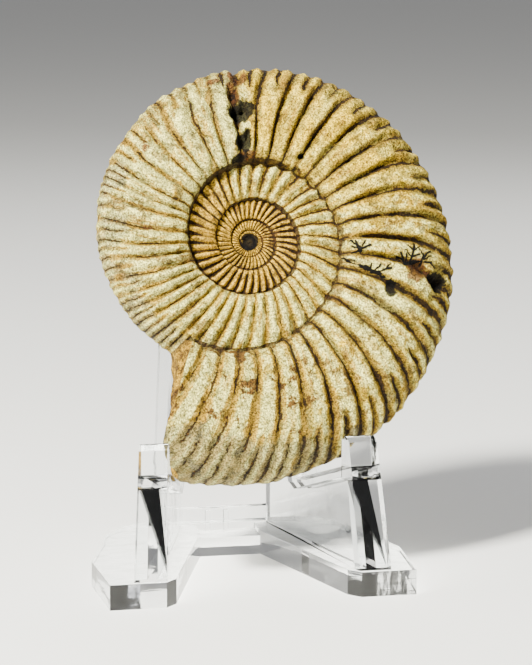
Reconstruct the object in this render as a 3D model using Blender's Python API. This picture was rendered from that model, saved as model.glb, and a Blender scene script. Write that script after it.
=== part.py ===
"""A ribbed ammonite fossil, leaning on the two wings of a clear moulded display stand.

The shell is one solid: a logarithmic spiral of ribbed whorls, each lying on the one before it.
The stand is one moulding: two wings that spread forwards, joined at the back by a low base.
"""
import math

import bpy
import numpy as np
from mathutils import Matrix, Vector

MM = 0.001

# The coil, with angles in degrees, clockwise from the right as seen from the front
RIM_RADIUS = 34.4 * MM
RIM_RADIUS_ANGLE = 135.0
GROWTH_PER_RADIAN = 0.099
SEAM_RATIO = 0.43
HALF_THICKNESS_RATIO = 0.235
SHOULDER_AT = 0.3
WALL_POWER = 2.2
FLANK_POWER = 2.6

# Ribs: one every nine degrees, swept forwards, each parting in two near the rim
RIB_STEP = 9.0
COLUMNS_PER_RIB = 4
FURROW_ANGLE = 274.6
RIB_HEIGHT_RATIO = 0.018
RIM_RIB_SHARE = 0.5
FURROW_SHARPNESS = 4.0
FORK_AT = 0.83
FORK_DONE_AT = 0.96
RIBS_START_AT = SEAM_RATIO + 0.02
RIBS_FULL_AT = SEAM_RATIO + 0.11
RIBS_LOWER_FROM = 0.9
RIB_MEAN = 0.6
INNER_SWEEP = 4.5
OUTER_SWEEP = 5.5
OUTER_SWEEP_FROM = 0.5
OUTER_SWEEP_POWER = 2.4
SWEEP_CHANGE = 60.0

# Mesh of the coil: the columns run from the middle to the mouth, the rows from seam to rim
COLUMNS_PER_TURN = 160
LAST_COLUMN = 94
FIRST_COLUMN = -676
ROW_RATIOS = (SEAM_RATIO, 0.46, 0.51, 0.62, 0.72, None, 0.875, 0.95, 1.0)
SEAM_ROW = 5
RIM_ROW = 8

# The broken mouth: how far round it reaches at a few heights between seam and rim
MOUTH_RATIOS = (SEAM_RATIO, 0.68, 0.85, 0.96, 1.0)
MOUTH_ANGLES = (486.1, 482.0, 479.7, 476.5, 471.0)
MOUTH_BLEND_COLUMNS = 20
CAP_HALF_HEIGHT = 0.35 * MM
SHARP_ANGLE = 50.0

# Hollows on the front: angle, ratio of the rim radius, half width in degrees, half height, depth
HOLLOWS = (
    (259.0, 0.97, 3.5, 0.06, 1.5 * MM),
    (264.0, 0.80, 3.5, 0.09, 1.1 * MM),
    (268.0, 0.66, 3.0, 0.06, 2.2 * MM),
    (270.0, 0.52, 2.5, 0.03, 1.6 * MM),
    (373.0, 0.90, 3.5, 0.06, 1.8 * MM),
    (375.0, 0.68, 2.5, 0.05, 1.2 * MM),
)

# Where the shell stands: centre of the coil above the stand's front middle, lean and turn
COIL_CENTRE = (3.7 * MM, 39.7 * MM, 80.3 * MM)
COIL_LEAN = 19.5
COIL_TURN = 2.3

# The stand, in its own frame: x to the right, y to the back, feet's front faces at y = 0
WING_FRONT_X = 27.4 * MM
WING_SLOPE = 0.287
FRONT_BAR_HALF_WIDTH = (4.0 * MM, 3.4 * MM)
POST_TOP = 37.2 * MM
POST_SETBACK = 7.7 * MM
POST_THICKNESS = 3.2 * MM
POST_ROUNDING = 1.2 * MM
HOOK_BELOW_SEAT = 3.0 * MM
STRIP_THICKNESS = 2.4 * MM
WEB_HALF_WIDTH = 1.2 * MM
RAIL_HALF_WIDTH = 3.7 * MM
SEAT_FRONT_Z = 29.6 * MM
SEAT_BACK = (34.6 * MM, 21.4 * MM)
RAIL_TOP_Z = 72.0 * MM
RAIL_LEAN = 19.5
RAIL_ROUNDING = 1.0 * MM
WEB_BELOW_RAIL_TOP = 5.0 * MM
WEB_BACK_Y = 53.5 * MM
FLANGE_HEIGHT = 6.1 * MM
FOOT_OUTER_X = 36.8 * MM
FLANGE_CORNER = (38.2 * MM, 22.0 * MM)
BASE_BACK_Y = 59.0 * MM
BASE_CORNER_RADIUS = 16.0 * MM
BASE_CORNER_STEPS = 6
NOTCH_FRONT = (20.6 * MM, 3.0 * MM)
NOTCH_BACK = (7.7 * MM, 45.0 * MM)
REAR_PLATE_HEIGHT = 4.8 * MM
REAR_WALL_Y = 53.6 * MM
REAR_WALL_HEIGHT = 10.4 * MM
REAR_RIB_XS = (-4.4 * MM, 0.3 * MM)
REAR_RIB_SIZE = (1.2 * MM, 1.4 * MM)
OVERLAP = 0.4 * MM


def clear_scene():
    for item in list(bpy.data.objects):
        bpy.data.objects.remove(item, do_unlink=True)


def make_material(name, colour, roughness, transmission=0.0, ior=1.5):
    material = bpy.data.materials.new(name)
    material.use_nodes = True
    shader = material.node_tree.nodes["Principled BSDF"]
    shader.inputs["Base Color"].default_value = (*colour, 1.0)
    shader.inputs["Roughness"].default_value = roughness
    shader.inputs["Metallic"].default_value = 0.0
    shader.inputs["Transmission Weight"].default_value = transmission
    shader.inputs["IOR"].default_value = ior
    return material


def make_object(name, vertices, faces, material=None):
    mesh = bpy.data.meshes.new(name)
    mesh.from_pydata([tuple(vertex) for vertex in vertices], [], faces)
    mesh.validate()
    if material:
        mesh.materials.append(material)
    made = bpy.data.objects.new(name, mesh)
    bpy.context.scene.collection.objects.link(made)
    return made


def smooth_ramp(low, high, value):
    """Goes from 0 at low to 1 at high without a corner."""
    part = np.clip((value - low) / (high - low), 0.0, 1.0)
    return part * part * (3.0 - 2.0 * part)


def rim_radius(angle):
    """The radius of the rim grows by the same share in every radian."""
    return RIM_RADIUS * np.exp(GROWTH_PER_RADIAN * np.radians(angle - RIM_RADIUS_ANGLE))


def turn_growth():
    """How many times larger the coil becomes in one turn."""
    return math.exp(GROWTH_PER_RADIAN * 2.0 * math.pi)


def flank_height(along):
    """Half of the section beyond its shoulder, a superellipse from 1 down to 0 at the rim."""
    return np.power(1.0 - np.clip(along, 0.0, 1.0) ** FLANK_POWER, 1.0 / FLANK_POWER)


def section_height(ratio):
    """Height of the whorl over the middle plane, as a share of its half thickness.

    A steep wall rises from the seam to the shoulder, and the flank falls from there to the rim.
    """
    seam_on_last = SEAM_RATIO * turn_growth()
    last_along = ((seam_on_last - SEAM_RATIO) / (1.0 - SEAM_RATIO) - SHOULDER_AT) / (1.0 - SHOULDER_AT)
    seam_height = flank_height(last_along) / turn_growth()
    along = (ratio - SEAM_RATIO) / (1.0 - SEAM_RATIO)
    down = np.clip(1.0 - along / SHOULDER_AT, 0.0, 1.0)
    wall = seam_height + (1.0 - seam_height) * np.power(1.0 - down ** WALL_POWER, 1.0 / WALL_POWER)
    flank = flank_height((along - SHOULDER_AT) / (1.0 - SHOULDER_AT))
    return np.where(along < SHOULDER_AT, wall, flank)


def rib_sweep(angle, ratio):
    """How many degrees forward a rib has moved at this height; the last whorl's bend late."""
    seam_on_last = SEAM_RATIO * turn_growth()
    inner = INNER_SWEEP * (ratio - SEAM_RATIO) / (seam_on_last - SEAM_RATIO)
    late = np.clip((ratio - OUTER_SWEEP_FROM) / (1.0 - OUTER_SWEEP_FROM), 0.0, 1.0)
    outer = OUTER_SWEEP * late ** OUTER_SWEEP_POWER
    first_exposed = MOUTH_ANGLES[0] - 360.0
    last_whorl = smooth_ramp(first_exposed, first_exposed + SWEEP_CHANGE, angle)
    return inner + (outer - inner) * last_whorl


def rib_relief(angle, ratio):
    """Rib height from 0 in a furrow to 1 on a crest, with a second furrow beyond the fork."""
    phase = (angle - rib_sweep(angle, ratio) - FURROW_ANGLE) / RIB_STEP
    furrow = np.abs(np.cos(math.pi * phase)) ** FURROW_SHARPNESS
    branch = np.abs(np.cos(math.pi * (phase - 0.5))) ** FURROW_SHARPNESS
    forked = smooth_ramp(FORK_AT, FORK_DONE_AT, ratio)
    return 1.0 - np.maximum(furrow, branch * forked)


def rib_height(angle, ratio):
    """Ribs fade towards the seam and are lower on the rim, where there are twice as many."""
    fade = smooth_ramp(RIBS_START_AT, RIBS_FULL_AT, ratio)
    share = 1.0 - (1.0 - RIM_RIB_SHARE) * smooth_ramp(RIBS_LOWER_FROM, 1.0, ratio)
    return RIB_HEIGHT_RATIO * rim_radius(angle) * fade * share


def hollow_depth(angle, ratio, side):
    depth = 0.0
    if side > 0:
        for at_angle, at_ratio, half_angle, half_ratio, deep in HOLLOWS:
            away = ((angle - at_angle) / half_angle) ** 2 + ((ratio - at_ratio) / half_ratio) ** 2
            depth += deep * math.exp(-away)
    return depth


def shell_point(angle, ratio, side):
    """A point of the shell, upright: x to the right, y to the back, z up."""
    radius = rim_radius(angle)
    thickness = HALF_THICKNESS_RATIO * radius
    step = 0.002
    low = max(ratio - step, SEAM_RATIO)
    high = min(ratio + step, 1.0)
    rise = HALF_THICKNESS_RATIO * (section_height(high) - section_height(low))
    length = math.hypot(high - low, rise)
    lift = rib_height(angle, ratio) * (rib_relief(angle, ratio) - RIB_MEAN)
    lift -= hollow_depth(angle, ratio, side)
    across = ratio * radius - lift * rise / length
    height = thickness * section_height(ratio) + lift * (high - low) / length
    if ratio >= 1.0:
        across = radius + lift
        height = 0.0
    turn = math.radians(angle)
    return (across * math.cos(turn), -side * height, -across * math.sin(turn))


def column_angle(column, ratio):
    """Columns follow the ribs, and near the mouth they bend to follow its broken edge."""
    start = FURROW_ANGLE + column * RIB_STEP / COLUMNS_PER_RIB
    along_rib = start + float(rib_sweep(start, ratio))
    end_angle = FURROW_ANGLE + LAST_COLUMN * RIB_STEP / COLUMNS_PER_RIB
    along_mouth = float(np.interp(ratio, MOUTH_RATIOS, MOUTH_ANGLES)) + start - end_angle
    share = float(smooth_ramp(LAST_COLUMN - MOUTH_BLEND_COLUMNS, LAST_COLUMN, column))
    return along_rib + (along_mouth - along_rib) * share


def column_step(column):
    """Every column on the last whorl, every second one inside it, every fourth in the middle."""
    first_exposed = LAST_COLUMN - COLUMNS_PER_TURN - 2
    if column >= first_exposed:
        return 1
    if column >= first_exposed - 2 * COLUMNS_PER_TURN:
        return 2
    return 4


def kept_row(column, row):
    """Inner whorls need fewer rows, so some rows there fall together."""
    first_exposed = LAST_COLUMN - COLUMNS_PER_TURN - 2
    if column >= first_exposed - COLUMNS_PER_TURN or row == SEAM_ROW:
        return row
    if column >= first_exposed - 2 * COLUMNS_PER_TURN:
        return (0, 1, 1, 3, 3)[row]
    return (0, 2, 2, 2, 2)[row]


def make_ammonite(material):
    """One closed solid: whorls welded along their seams, a capped middle and a broken mouth."""
    # A seam lies as far forward of its whorl's start as the ribs of the whorl below have swept
    seam_shift = COLUMNS_PER_TURN + int(INNER_SWEEP * COLUMNS_PER_RIB / RIB_STEP)
    first_exposed = LAST_COLUMN - seam_shift
    row_ratios = [SEAM_RATIO * turn_growth() if ratio is None else ratio for ratio in ROW_RATIOS]
    vertices = []
    index_of = {}

    def vertex(column, row, side):
        if row == 0 and column - seam_shift >= FIRST_COLUMN:
            return vertex(column - seam_shift, SEAM_ROW, side)
        column = column // column_step(column) * column_step(column)
        row = kept_row(column, row)
        key = (column, row, 1 if row == RIM_ROW else side)
        if key not in index_of:
            index_of[key] = len(vertices)
            ratio = row_ratios[row]
            vertices.append(shell_point(column_angle(column, ratio), ratio, key[2]))
        return index_of[key]

    faces = []

    def add_face(corners, side):
        corners = list(dict.fromkeys(corners))
        if len(corners) >= 3:
            faces.append(corners[::-1] if side > 0 else corners)

    for side in (1, -1):
        for column in range(FIRST_COLUMN, LAST_COLUMN):
            last_row = RIM_ROW if column >= first_exposed else SEAM_ROW
            for row in range(last_row):
                add_face([vertex(column, row, side), vertex(column, row + 1, side),
                          vertex(column + 1, row + 1, side), vertex(column + 1, row, side)], side)
        # The cap in the middle of the coil
        loop = [vertex(column, 0, side) for column in range(FIRST_COLUMN, FIRST_COLUMN + seam_shift)]
        loop += [vertex(FIRST_COLUMN, row, side) for row in range(SEAM_ROW, 0, -1)]
        loop = list(dict.fromkeys(loop))
        middle = len(vertices)
        vertices.append((0.0, -side * CAP_HALF_HEIGHT, 0.0))
        for corner, following in zip(loop, loop[1:] + loop[:1]):
            add_face([corner, following, middle], side)

    # The mouth: from the last column to the whorl it grew over, as a band of triangles
    def across_whorl(column, rows):
        front = [vertex(column, row, 1) for row in rows]
        back = [vertex(column, row, -1) for row in reversed(rows[:-1])]
        return front + back

    outer = across_whorl(LAST_COLUMN, list(range(0, RIM_ROW + 1)))
    inner = across_whorl(first_exposed, list(range(SEAM_ROW, RIM_ROW + 1)))
    here, there = 0, 0
    while here < len(outer) - 1 or there < len(inner) - 1:
        outer_next = (here + 1) / (len(outer) - 1)
        inner_next = (there + 1) / (len(inner) - 1)
        if there == len(inner) - 1 or (here < len(outer) - 1 and outer_next <= inner_next):
            add_face([outer[here], inner[there], outer[here + 1]], -1)
            here += 1
        else:
            add_face([outer[here], inner[there], inner[there + 1]], -1)
            there += 1

    shell = make_object("ammonite", vertices, faces, material)
    shell.data.shade_smooth()
    shell.data.set_sharp_from_angle(angle=math.radians(SHARP_ANGLE))
    lean = Matrix.Rotation(math.radians(-COIL_LEAN), 4, "X")
    turned = Matrix.Rotation(math.radians(COIL_TURN), 4, "Z")
    shell.matrix_world = Matrix.Translation(Vector(COIL_CENTRE)) @ turned @ lean
    return shell


def wing_bar(name, side, outline, half_widths):
    """A bar of one wing: its outline in y and z, its width along x, its middle on the wing's line.

    half_widths are those at the floor and at the height of the post's top.
    """
    count = len(outline)
    vertices = []
    for edge in (-1.0, 1.0):
        for y, z in outline:
            share = min(z / POST_TOP, 1.0)
            half = half_widths[0] + (half_widths[1] - half_widths[0]) * share
            vertices.append((side * (WING_FRONT_X - WING_SLOPE * y) + edge * half, y, z))
    faces = [list(range(count)), list(range(2 * count - 1, count - 1, -1))]
    for here in range(count):
        after = (here + 1) % count
        faces.append([here, here + count, after + count, after])
    return make_object(name, vertices, faces)


def plate(name, outline, low, high):
    """A flat piece of even height, its outline in x and y running anticlockwise from above."""
    count = len(outline)
    vertices = [(x, y, low) for x, y in outline] + [(x, y, high) for x, y in outline]
    faces = [list(range(count - 1, -1, -1)), list(range(count, 2 * count))]
    for here in range(count):
        after = (here + 1) % count
        faces.append([here, after, after + count, here + count])
    return make_object(name, vertices, faces)


def post_outline():
    """The front bar: a sloping front edge, with a thick hook above the seat."""
    slope = POST_SETBACK / POST_TOP
    hook_back = POST_SETBACK + POST_THICKNESS
    hook_low = SEAT_FRONT_Z - HOOK_BELOW_SEAT
    rounding = POST_ROUNDING
    return [(0.0, 0.0), (POST_SETBACK - rounding * slope, POST_TOP - rounding),
            (POST_SETBACK + rounding, POST_TOP), (hook_back - rounding, POST_TOP),
            (hook_back, POST_TOP - rounding), (hook_back, hook_low),
            (hook_low * slope + STRIP_THICKNESS, hook_low), (STRIP_THICKNESS, 0.0)]


def rail_direction():
    return math.sin(math.radians(RAIL_LEAN)), math.cos(math.radians(RAIL_LEAN))


def seat_outline():
    front_y = POST_SETBACK + POST_THICKNESS - OVERLAP
    back_y, back_z = SEAT_BACK
    over, up = rail_direction()
    under = STRIP_THICKNESS
    return [(front_y, SEAT_FRONT_Z), (front_y, SEAT_FRONT_Z - under / up),
            (back_y - over * under, back_z - up * under),
            (back_y + up * under, back_z - over * under), (back_y, back_z)]


def rail_outline():
    back_y, back_z = SEAT_BACK
    over, up = rail_direction()
    length = (RAIL_TOP_Z - back_z) / up
    thick = STRIP_THICKNESS
    low = -OVERLAP
    rounding = RAIL_ROUNDING
    corners = ((0.0, low), (thick, low), (thick, length - rounding),
               (thick - rounding, length), (rounding, length), (0.0, length - rounding))
    return [(back_y + up * back + over * along, back_z - over * back + up * along)
            for back, along in corners][::-1]


def web_outline():
    """The thin plate that fills the wing below the seat and behind the rail."""
    inset = STRIP_THICKNESS / 2.0
    back_y, back_z = SEAT_BACK
    over, up = rail_direction()
    length = (RAIL_TOP_Z - back_z) / up - WEB_BELOW_RAIL_TOP
    top = (back_y + up * inset + over * length, back_z - over * inset + up * length)
    low = FLANGE_HEIGHT - inset
    slope = POST_SETBACK / POST_TOP
    hook_low = SEAT_FRONT_Z - HOOK_BELOW_SEAT - OVERLAP
    return [(low * slope + inset, low), (SEAT_FRONT_Z * slope + inset, hook_low),
            (POST_SETBACK + POST_THICKNESS, SEAT_FRONT_Z - inset),
            (back_y, back_z - inset), (back_y + up * inset, back_z - over * inset),
            top, (WEB_BACK_Y, top[1] - inset), (WEB_BACK_Y, low)]


def base_outline():
    """The flange round both feet and the back, open between the feet."""
    corner_x, corner_y = FLANGE_CORNER
    run = BASE_BACK_Y - BASE_CORNER_RADIUS - corner_y
    edge_x = corner_x - WING_SLOPE * run
    right = [(WING_FRONT_X - FRONT_BAR_HALF_WIDTH[0], 0.0), (FOOT_OUTER_X, 0.0),
             (corner_x, corner_y), (edge_x, corner_y + run)]
    for step in range(1, BASE_CORNER_STEPS + 1):
        turn = math.pi / 2.0 * step / BASE_CORNER_STEPS
        right.append((edge_x - BASE_CORNER_RADIUS * (1.0 - math.cos(turn)),
                      corner_y + run + BASE_CORNER_RADIUS * math.sin(turn)))
    left = [(-x, y) for x, y in reversed(right)]
    notch = [(-NOTCH_FRONT[0], NOTCH_FRONT[1]), (-NOTCH_BACK[0], NOTCH_BACK[1]),
             (-NOTCH_BACK[0], REAR_WALL_Y), (NOTCH_BACK[0], REAR_WALL_Y),
             NOTCH_BACK, NOTCH_FRONT]
    return right + left + notch


def rear_details():
    """The plate that closes the notch, the low wall behind it and the two small ribs there."""
    overlap = OVERLAP
    half = NOTCH_BACK[0] + overlap
    rear_low = REAR_PLATE_HEIGHT - overlap
    details = [plate("rear plate", [(-half, NOTCH_BACK[1]), (half, NOTCH_BACK[1]),
                                    (half, REAR_WALL_Y + overlap), (-half, REAR_WALL_Y + overlap)],
                     0.0, REAR_PLATE_HEIGHT)]
    wall_half = WING_FRONT_X - WING_SLOPE * REAR_WALL_Y
    wall_back = REAR_WALL_Y + STRIP_THICKNESS
    wall_low = FLANGE_HEIGHT - overlap
    details.append(plate("rear wall", [(-wall_half, REAR_WALL_Y), (wall_half, REAR_WALL_Y),
                                       (wall_half, wall_back), (-wall_half, wall_back)],
                         wall_low, REAR_WALL_HEIGHT))
    width, depth = REAR_RIB_SIZE
    for place, x in enumerate(REAR_RIB_XS):
        details.append(plate(f"rear rib {place}", [(x - width / 2, REAR_WALL_Y - depth),
                                                  (x + width / 2, REAR_WALL_Y - depth),
                                                  (x + width / 2, REAR_WALL_Y + overlap),
                                                  (x - width / 2, REAR_WALL_Y + overlap)],
                             rear_low, REAR_WALL_HEIGHT - overlap))
    return details


def hide_tool(tool):
    tool.hide_render = True
    tool.display_type = "WIRE"


def make_stand(material):
    """One moulding: the base with the bars, plates and rails of both wings joined to it."""
    stand = plate("stand", base_outline(), 0.0, FLANGE_HEIGHT)
    stand.data.materials.append(material)
    tools = rear_details()
    for side, word in ((-1.0, "left"), (1.0, "right")):
        tools.append(wing_bar(f"{word} post", side, post_outline(), FRONT_BAR_HALF_WIDTH))
        tools.append(wing_bar(f"{word} seat", side, seat_outline(), (RAIL_HALF_WIDTH, RAIL_HALF_WIDTH)))
        tools.append(wing_bar(f"{word} rail", side, rail_outline(), (RAIL_HALF_WIDTH, RAIL_HALF_WIDTH)))
        tools.append(wing_bar(f"{word} web", side, web_outline(), (WEB_HALF_WIDTH, WEB_HALF_WIDTH)))
    for tool in tools:
        hide_tool(tool)
        joined = stand.modifiers.new(tool.name, "BOOLEAN")
        joined.operation = "UNION"
        joined.solver = "EXACT"
        joined.object = tool
    return stand


def stand_on_origin(objects):
    """Moves everything so that the origin lies under the middle of the whole."""
    bpy.context.view_layer.update()
    depsgraph = bpy.context.evaluated_depsgraph_get()
    corners = []
    for item in objects:
        evaluated = item.evaluated_get(depsgraph)
        corners += [evaluated.matrix_world @ vertex.co for vertex in evaluated.data.vertices]
    places = np.array(corners)
    low, high = places.min(axis=0), places.max(axis=0)
    shift = Matrix.Translation(Vector((-(low[0] + high[0]) / 2, -(low[1] + high[1]) / 2, 0.0)))
    for item in bpy.context.scene.objects:
        item.matrix_world = shift @ item.matrix_world


def main():
    clear_scene()
    limestone = make_material("pale limestone", (0.66, 0.50, 0.24), 0.85)
    clear_plastic = make_material("clear plastic", (0.96, 0.97, 0.98), 0.05, 1.0, 1.49)
    ammonite = make_ammonite(limestone)
    stand = make_stand(clear_plastic)
    stand_on_origin([ammonite, stand])


main()
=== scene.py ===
# %% [markdown]
# A ribbed ammonite fossil leans back on a clear moulded stand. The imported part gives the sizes: the stand's
# box places the coil and the camera, so everything below follows from it. The boxes are noted now, because
# the shell and the stand made here have to fill the same space as the plain ones that they replace.

# %% Load the part and note its boxes
import itertools
import math

import bmesh
import bpy
import numpy as np
from mathutils import Matrix, Vector


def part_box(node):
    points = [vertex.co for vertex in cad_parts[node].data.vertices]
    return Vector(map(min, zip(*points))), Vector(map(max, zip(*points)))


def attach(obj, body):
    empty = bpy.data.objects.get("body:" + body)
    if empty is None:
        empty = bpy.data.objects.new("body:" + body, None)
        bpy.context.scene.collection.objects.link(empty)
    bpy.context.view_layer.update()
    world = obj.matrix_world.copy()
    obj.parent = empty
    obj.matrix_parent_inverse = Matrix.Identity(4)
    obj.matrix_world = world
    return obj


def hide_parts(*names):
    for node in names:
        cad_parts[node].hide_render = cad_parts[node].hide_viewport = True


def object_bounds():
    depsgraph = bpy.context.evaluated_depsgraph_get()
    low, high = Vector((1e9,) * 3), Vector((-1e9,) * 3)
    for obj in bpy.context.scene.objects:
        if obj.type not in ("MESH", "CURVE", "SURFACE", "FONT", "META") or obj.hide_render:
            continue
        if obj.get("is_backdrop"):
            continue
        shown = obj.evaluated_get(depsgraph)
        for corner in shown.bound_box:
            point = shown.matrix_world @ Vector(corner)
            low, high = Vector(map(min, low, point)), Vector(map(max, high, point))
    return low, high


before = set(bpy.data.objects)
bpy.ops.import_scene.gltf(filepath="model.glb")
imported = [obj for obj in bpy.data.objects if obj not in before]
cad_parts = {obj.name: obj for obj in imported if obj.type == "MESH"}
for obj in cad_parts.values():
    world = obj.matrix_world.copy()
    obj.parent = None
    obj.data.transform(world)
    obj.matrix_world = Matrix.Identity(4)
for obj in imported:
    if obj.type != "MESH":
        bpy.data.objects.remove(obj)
cad_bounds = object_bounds()
MM = 0.001
stand_low, stand_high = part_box("stand")
# The middle of the stand's front edge on the ground: the shell and the camera are placed from here
front_middle = Vector(((stand_low.x + stand_high.x) / 2, stand_low.y, 0.0))
print("nodes", sorted(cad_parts), "front middle", [round(value, 4) for value in front_middle])


# %% [markdown]
# The shell is a solid of stone, so its surface is all that shows. On the real fossil the coil grows by the
# same share in every radian, and each whorl covers the outer part of the one before it. A formula for one
# section of the whorl, swept along that spiral, gives the whole coil without any drawing by hand.

# %% The coil in numbers
# Angles are degrees along the coil; ratios and thicknesses are shares of the rim's radius at that angle
RIM_RADIUS = 34.4 * MM
RIM_RADIUS_ANGLE = 135.0
GROWTH = 0.099
SEAM = 0.43
HALF_THICKNESS = 0.235
# The section is a steep wall up to the shoulder and then a flank, each with the power of its curve
SHOULDER = 0.3
WALL_POWER = 2.2
FLANK_POWER = 2.6
# How far a rib leans forwards from the seam to the rim, inside and on the last whorl, where it bends late
INNER_SWEEP = 4.5
OUTER_SWEEP = 5.5
OUTER_BEND = 2.4
# The broken mouth: its angle at each ratio, how far back the columns bend into it, its slant behind
MOUTH_START = 486.1
MOUTH_RATIOS = (SEAM, 0.60, 0.68, 0.76, 0.85, 0.91, 0.96, 1.0)
MOUTH_ANGLES = (MOUTH_START, 483.6, 482.0, 480.2, 479.7, 478.6, 476.5, 471.0)
MOUTH_BLEND = 45.0
MOUTH_SLANT = 8.0
# How much further out the seam lies at the mouth
SEAM_OPENS = 0.06
COIL_CENTRE = front_middle + Vector((3.7 * MM, 39.7 * MM, 80.3 * MM))
COIL_LEAN = 19.5
COIL_TURN = 2.3
turn_growth = math.exp(GROWTH * 2.0 * math.pi)
seam_on_last = SEAM * turn_growth
print("growth in a turn", round(turn_growth, 3), "next whorl's seam at", round(seam_on_last, 3))


# %% [markdown]
# The section could be drawn as a curve and swept by a modifier. As formulas it can be asked for its height
# and its slope anywhere, which the ribs, the seam and the mouth all need, so it is written in that way.

# %% Formulas of the coil
def smooth_ramp(low, high, value):
    """s * s * (3 - 2 * s), where s goes from 0 at low to 1 at high."""
    share = np.clip((value - low) / (high - low), 0.0, 1.0)
    return share * share * (3.0 - 2.0 * share)


def rim_radius(angle):
    """The rim's radius is R * exp(growth * (angle - first angle)), with the angles in radians."""
    return RIM_RADIUS * np.exp(GROWTH * np.radians(angle - RIM_RADIUS_ANGLE))


def flank_height(along):
    """A superellipse: height = (1 - along ^ n) ^ (1 / n), from 1 at the shoulder to 0 at the rim."""
    return (1.0 - np.clip(along, 0.0, 1.0) ** FLANK_POWER) ** (1.0 / FLANK_POWER)


def seam_ratio(angle):
    """SEAM, growing smoothly by SEAM_OPENS towards the mouth, where the shell covers less of itself."""
    return SEAM + SEAM_OPENS * smooth_ramp(MOUTH_START - 90.0, MOUTH_START, angle)


def section_height(ratio, seam=SEAM):
    """Height over the middle plane as a share of the half thickness: a steep wall, then the flank."""
    last_along = ((seam * turn_growth - SEAM) / (1.0 - SEAM) - SHOULDER) / (1.0 - SHOULDER)
    seam_height = flank_height(last_along) / turn_growth
    along = np.maximum(ratio - seam, 0.0) / (1.0 - seam)
    down = np.clip(1.0 - along / SHOULDER, 0.0, 1.0)
    wall = seam_height + (1.0 - seam_height) * (1.0 - down ** WALL_POWER) ** (1.0 / WALL_POWER)
    return np.where(along < SHOULDER, wall, flank_height((along - SHOULDER) / (1.0 - SHOULDER)))


def rib_sweep(angle, ratio):
    """Degrees that a rib has moved forwards at this height; on the last whorl it bends late."""
    inner = INNER_SWEEP * (ratio - SEAM) / (seam_on_last - SEAM)
    outer = OUTER_SWEEP * np.clip((ratio - 0.5) / 0.5, 0.0, 1.0) ** OUTER_BEND
    return inner + (outer - inner) * smooth_ramp(MOUTH_START - 360.0, MOUTH_START - 300.0, angle)


print("rim radius at the mouth", round(float(rim_radius(MOUTH_START)) / MM, 1), "mm")


# %% [markdown]
# The ribs are what makes this shell: one about every nine degrees, unevenly spaced as in any living thing,
# so their furrows are listed by angle on the last whorl and half a turn inside it. The hollows are where the
# stone has broken or weathered out. They are listed too, because no random pattern would put them there.

# %% Where the ribs and hollows are
FURROWS = (-110.3, -99.9, -88.8, -77.2, -65.9, -53.6, -41.3, -31.9, -22.3, -12.2, -1.4, 8.1, 17.6, 28.2, 37.8,
           47.5, 56.2, 65.2, 74.3, 83.5, 92.5, 101.0, 109.0, 116.8, 124.0, 131.7, 139.8, 146.4, 153.2, 160.6,
           169.5, 176.4, 185.0, 194.7, 200.4, 206.3, 215.4, 224.8, 233.3, 244.8, 253.5, 263.9, 274.1, 284.1,
           294.1, 304.0, 314.0, 324.0, 333.9, 343.8, 353.7, 363.5, 373.2, 383.0, 392.9, 402.7, 412.2, 421.4,
           430.3, 439.0, 447.3, 455.4, 463.4, 471.4, 479.2)
INNER_STEP = 9.4
# Hollows on the front: angle, ratio of the rim radius, half width in degrees, half height, depth
HOLLOWS = (
    (269.3, 0.975, 1.8, 0.035, 1.5 * MM), (268.3, 0.91, 1.6, 0.05, 1.2 * MM),
    (265.2, 0.83, 2.2, 0.06, 1.6 * MM), (267.2, 0.712, 5.2, 0.048, 3.6 * MM),
    (265.2, 0.64, 3.0, 0.03, 1.3 * MM), (266.6, 0.535, 3.8, 0.042, 2.6 * MM),
    (269.5, 0.586, 1.8, 0.025, 1.4 * MM), (303.2, 0.491, 2.6, 0.022, 1.5 * MM),
    (263.0, 0.455, 5.0, 0.020, 0.8 * MM), (376.9, 0.900, 3.0, 0.050, 3.0 * MM),
    (374.0, 0.80, 2.4, 0.035, 1.2 * MM), (385.2, 0.660, 2.4, 0.028, 1.0 * MM),
    (378.6, 0.47, 0.9, 0.040, 0.7 * MM), (324.6, 0.627, 1.2, 0.016, 0.7 * MM),
)
# Ribs: height as a share of the rim's radius, and how much flatter they are at the rim and at the mouth
RIB_HEIGHT = 0.034
RIM_FLATTER = 0.6
MOUTH_FLATTER = 0.62
# Rough stone: share of a millimetre, size of the bumps, seed
ROUGHNESS = ((0.35, 7.0 * MM, 3), (0.22, 2.6 * MM, 5), (0.20, 1.2 * MM, 7), (0.12, 0.6 * MM, 11))
# The step down behind the break: its angles and its depth
BREAK_EDGE, BREAK_END, BREAK_DEPTH = (267.5, 269.0), (284.0, 272.0), 0.45 * MM
print("furrows listed", len(FURROWS), "hollows", len(HOLLOWS))


# %% [markdown]
# Each rib parts in two near the rim. Counting the ribs along the coil gives one number that is whole in every
# furrow, and both the shape and the colour of a furrow follow from how near that number is to a whole one.
# Small random steps make the worn stone; they come from a seeded lattice, so every run gives the same shell.

# %% Formulas of the ribs and the rough stone
def rib_count(angle):
    """Ribs counted along the coil: a whole number in every furrow, a half on every crest."""
    listed = np.interp(angle, FURROWS, np.arange(len(FURROWS), dtype=float))
    before = np.minimum(angle - FURROWS[0], 0.0) / INNER_STEP
    after = np.maximum(angle - FURROWS[-1], 0.0) / (FURROWS[-1] - FURROWS[-2])
    return listed + before + after


def from_furrow(count):
    """Distance to the nearest furrow, from 0 in it to 0.5 on the crest: |count - round(count)|."""
    return np.abs(count - np.round(count))


def branch_count(count, ratio):
    """The second furrow starts a little before the crest and reaches its middle near the rim."""
    return count + 0.38 + 0.12 * smooth_ramp(0.8, 0.95, ratio)


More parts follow.
